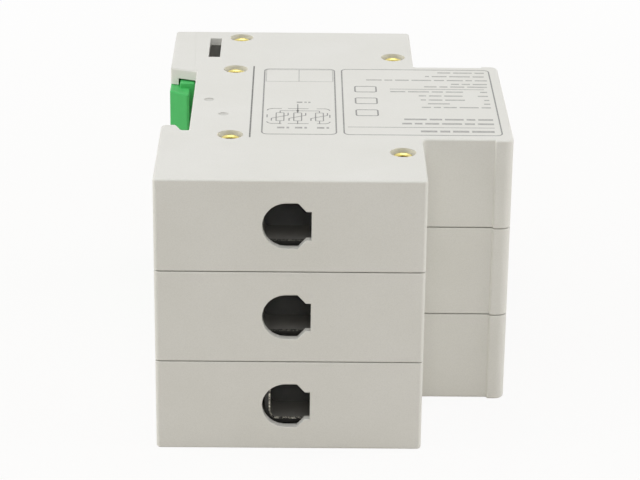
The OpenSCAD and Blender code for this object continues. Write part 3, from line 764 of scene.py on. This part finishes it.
# Short bars by the sketch, then rows of bars: each row's v, its two ends in u and, in big rows, its height
SIGN_LABEL_V = (28.0, 28.9)
SIGN_LABEL = ((-0.5, 0.9), (1.3, 1.8))
STEM_LABEL_V = (43.1, 43.8)
STEM_LABEL = ((-0.2, 0.9), (1.25, 1.75), (2.05, 2.5))
BIG_ROWS = ((26.9, 49.4, 63.4, 1.0), (31.3, 46.0, 63.6, 0.85), (33.8, 46.0, 63.6, 0.85))
SMALL_ROWS = (
    (41.0, 50.2, 63.7), (43.2, 51.5, 55.8), (43.2, 62.5, 63.7), (45.5, 50.2, 58.9), (45.5, 62.7, 63.7),
    (48.0, 49.9, 58.6), (48.0, 61.6, 63.6), (50.5, 43.3, 58.8), (50.5, 62.2, 63.6), (53.7, 51.2, 63.8),
    (55.4, 56.7, 63.9), (57.8, 39.7, 64.1), (60.3, 51.7, 63.6), (62.7, 53.8, 63.8),
)
SMALL_ROW_H = 0.55

# Lengths of the bars in a row, and the turns that make them uneven
BAR_SHORT = 1.3
BAR_SPREAD = 3.1
BAR_GAP = 0.55
BAR_LEAST = 0.6
BAR_TURN = 0.618
ROW_TURN = 0.37


def print_lines():
    lines = Print()
    for box in (LEFT_BOX, RIGHT_BOX):
        lines.outline(*box, BOX_CORNER, LINE_W)
    for v, start, end in RULES:
        lines.stroke((start, v), (end, v), THIN_W)
    left, right = BLANK_BOX_U
    for v in BLANK_BOX_V:
        lines.outline(left, v, right, v + BLANK_BOX_H, BLANK_BOX_CORNER, BLANK_BOX_W)
    lines.place("print_lines", LINE_INK)


def print_cells():
    cells = Print()
    for v in CELL_V:
        cells.stroke((CELL_U[0], v), (CELL_U[-1], v), THIN_W)
    for u in CELL_U:
        cells.stroke((u, CELL_V[0]), (u, CELL_V[1]), THIN_W)
    cells.place("print_cells", FAINT_INK)


def print_rule():
    rule = Print()
    start, end = SIDE_RULE_V
    rule.stroke((SIDE_RULE_U, start), (SIDE_RULE_U, end), SIDE_RULE_W)
    rule.place("print_rule", RULE_INK)


def dashed_frame(sketch, u0, v0, u1, v1):
    """Long dashes along the frame's sides and a rounded corner at each end."""
    for u, v, start in ((u1, v1, 0), (u0, v1, 90), (u0, v0, 180), (u1, v0, 270)):
        inward_u = SKETCH_CORNER if u == u0 else -SKETCH_CORNER
        inward_v = SKETCH_CORNER if v == v0 else -SKETCH_CORNER
        sketch.arc(u + inward_u, v + inward_v, SKETCH_CORNER, start, DASH_W)
    for v in (v0, v1):
        for start, end in TOP_DASHES:
            sketch.stroke((start, v), (end, v), DASH_W)
    for u in (u0, u1):
        sketch.stroke((u, SIDE_DASH[0]), (u, SIDE_DASH[1]), DASH_W)


def varistor_sign(sketch, u):
    """A box in a line, crossed by a slanted stroke with a tick at each end."""
    low, high = SIGN_V
    middle = (low + high) / 2
    sketch.outline(u - SIGN_W / 2, low, u + SIGN_W / 2, high, SIGN_CORNER, THIN_W)
    sketch.stroke((u, high), (u, BUS_V), THIN_W)
    sketch.stroke((u, low), (u, low - LEAD_DROP), THIN_W)
    left = (u - SLANT_LEFT, middle - SLANT_RISE)
    right = (u + SLANT_RIGHT, middle + SLANT_RISE)
    sketch.stroke(left, right, DASH_W)
    sketch.stroke((left[0], left[1] - TICK), left, DASH_W)
    sketch.stroke(right, (right[0], right[1] + TICK), DASH_W)


def print_sketch():
    sketch = Print()
    dashed_frame(sketch, *SKETCH_FRAME)
    sketch.stroke((SIGN_U[0], BUS_V), (SIGN_U[-1], BUS_V), THIN_W)
    sketch.stroke((STEM_U, BUS_V - THIN_W / 2), (STEM_U, STEM_V), THIN_W)
    half_u, half_v = DOT_HALF
    sketch.slab(round_box(STEM_U - half_u, BUS_V - half_v, STEM_U + half_u, BUS_V + half_v, DOT_CORNER))
    for u in SIGN_U:
        varistor_sign(sketch, u)
    sketch.place("print_sketch", LINE_INK)


def print_rows():
    rows = Print()
    for v, start, end, height in BIG_ROWS:
        rows.bar_row(v, start, end, height)
    for v, start, end in SMALL_ROWS:
        rows.bar_row(v, start, end, SMALL_ROW_H)
    for u in SIGN_U:
        for start, end in SIGN_LABEL:
            rows.bar(u + start, SIGN_LABEL_V[0], u + end, SIGN_LABEL_V[1])
    for start, end in STEM_LABEL:
        rows.bar(STEM_U + start, STEM_LABEL_V[0], STEM_U + end, STEM_LABEL_V[1])
    rows.place("print_rows", TEXT_INK)


# Stage

def seen_by_eye(paint):
    """1 for what shows straight, in a gloss or through the pane, and 0 for the light on the object."""
    path = paint.add("ShaderNodeLightPath").outputs
    direct = paint.math("MAXIMUM", path["Is Camera Ray"], path["Is Glossy Ray"])
    return paint.math("MAXIMUM", direct, path["Is Transmission Ray"])


def floor_white():
    """Pale floor that shows almost white where it is seen, with a trace of shadow near the part."""
    paint = Paint("floor_white", Roughness=0.9, Specular_IOR_Level=0.1)
    clouds = paint.noise(scale=6.0)
    paint.feed("Base Color", paint.ramp(clouds, (0.3, linear(223, 218, 208)), (0.7, linear(226, 221, 212))))
    away = paint.add("ShaderNodeVectorMath", {0: paint.place}, operation="LENGTH").outputs["Value"]
    whiter = {
        "Value": away, "From Min": WHITE_FROM, "From Max": WHITE_TO,
        "To Min": GLOW_NEAR, "To Max": GLOW_FAR,
    }
    glow_share = paint.add("ShaderNodeMapRange", whiter).outputs["Result"]
    share = paint.math("MULTIPLY", seen_by_eye(paint), glow_share)
    glow = paint.add("ShaderNodeEmission", {"Color": WHITE, "Strength": 1.0}).outputs["Emission"]
    mixed = paint.add("ShaderNodeMixShader", {0: share, 1: paint.shader.outputs["BSDF"], 2: glow})
    output = paint.tree.nodes["Material Output"]
    paint.tree.links.new(mixed.outputs["Shader"], output.inputs["Surface"])
    return paint.material


def studio_floor():
    mesh = bmesh.new()
    bmesh.ops.create_grid(mesh, x_segments=FLOOR_CELLS, y_segments=FLOOR_CELLS, size=FLOOR_SIZE)
    data = bpy.data.meshes.new("floor")
    mesh.to_mesh(data)
    mesh.free()
    data.materials.append(floor_white())
    floor = bpy.data.objects.new("floor", data)
    floor.location.z = CAD_BOX[0][2] - FLOOR_DROP
    bpy.context.scene.collection.objects.link(floor)


class WorldPaint(Paint):
    """The same short ways of adding nodes, for the world."""

    def __init__(self):
        world = bpy.data.worlds.new("studio")
        world.use_nodes = True
        bpy.context.scene.world = world
        self.tree = world.node_tree


def softbox(name, at, size, power, in_gloss=False):
    """A square lamp that faces the part and may show in glossy surfaces."""
    lamp = bpy.data.lights.new(name, "AREA")
    lamp.shape = "SQUARE"
    lamp.size = size
    lamp.energy = power
    box = bpy.data.objects.new(name, lamp)
    box.location = at
    box.rotation_euler = (-at).to_track_quat("-Z", "Y").to_euler()
    box.visible_glossy = in_gloss
    bpy.context.scene.collection.objects.link(box)


def studio_light():
    paint = WorldPaint()
    back = paint.tree.nodes["Background"]
    back.inputs["Color"].default_value = WHITE
    level = paint.between(seen_by_eye(paint), SKY_LEVEL, 1.0)
    paint.tree.links.new(level, back.inputs["Strength"])
    softbox("softbox", LAMP_AT, LAMP_SIZE, LAMP_POWER, in_gloss=True)
    for at in SIDE_AT:
        softbox("side_softbox", at, SIDE_SIZE, SIDE_POWER)
    for at in FILL_AT:
        softbox("fill", at, FILL_SIZE, FILL_POWER)


def photo_camera():
    """The photograph's camera, turned by its yaw, pitch and roll."""
    flat = math.cos(CAMERA_PITCH)
    ahead = Vector((math.sin(CAMERA_YAW) * flat, math.cos(CAMERA_YAW) * flat, -math.sin(CAMERA_PITCH)))
    level = Vector((math.cos(CAMERA_YAW), -math.sin(CAMERA_YAW), 0.0))
    upright = level.cross(ahead)
    right = math.cos(CAMERA_ROLL) * level + math.sin(CAMERA_ROLL) * upright
    up = right.cross(ahead)
    lens = bpy.data.cameras.new("photo_view")
    lens.sensor_width = SENSOR_W
    lens.lens = CAMERA_LENS
    lens.clip_start = CLIP_START
    camera = bpy.data.objects.new("photo_view", lens)
    turn = Matrix((right, up, -ahead)).transposed().to_4x4()
    camera.matrix_world = Matrix.Translation(CAMERA_AT) @ turn
    bpy.context.scene.collection.objects.link(camera)
    bpy.context.scene.camera = camera


# The whole part

photo_camera()
studio_light()
studio_floor()
for pole in POLES:
    rounded_case(pole)
    rounded_clip(pole)
    for kind, width in FINE_EDGE.items():
        finish_node(f"{kind}_{pole}", width)
finish_node("earth_link_bar", LINK_BAR_EDGE)
finish_node("rivets")
print_lines()
print_cells()
print_rule()
print_sketch()
print_rows()

bpy.context.scene.view_settings.view_transform = "Standard"
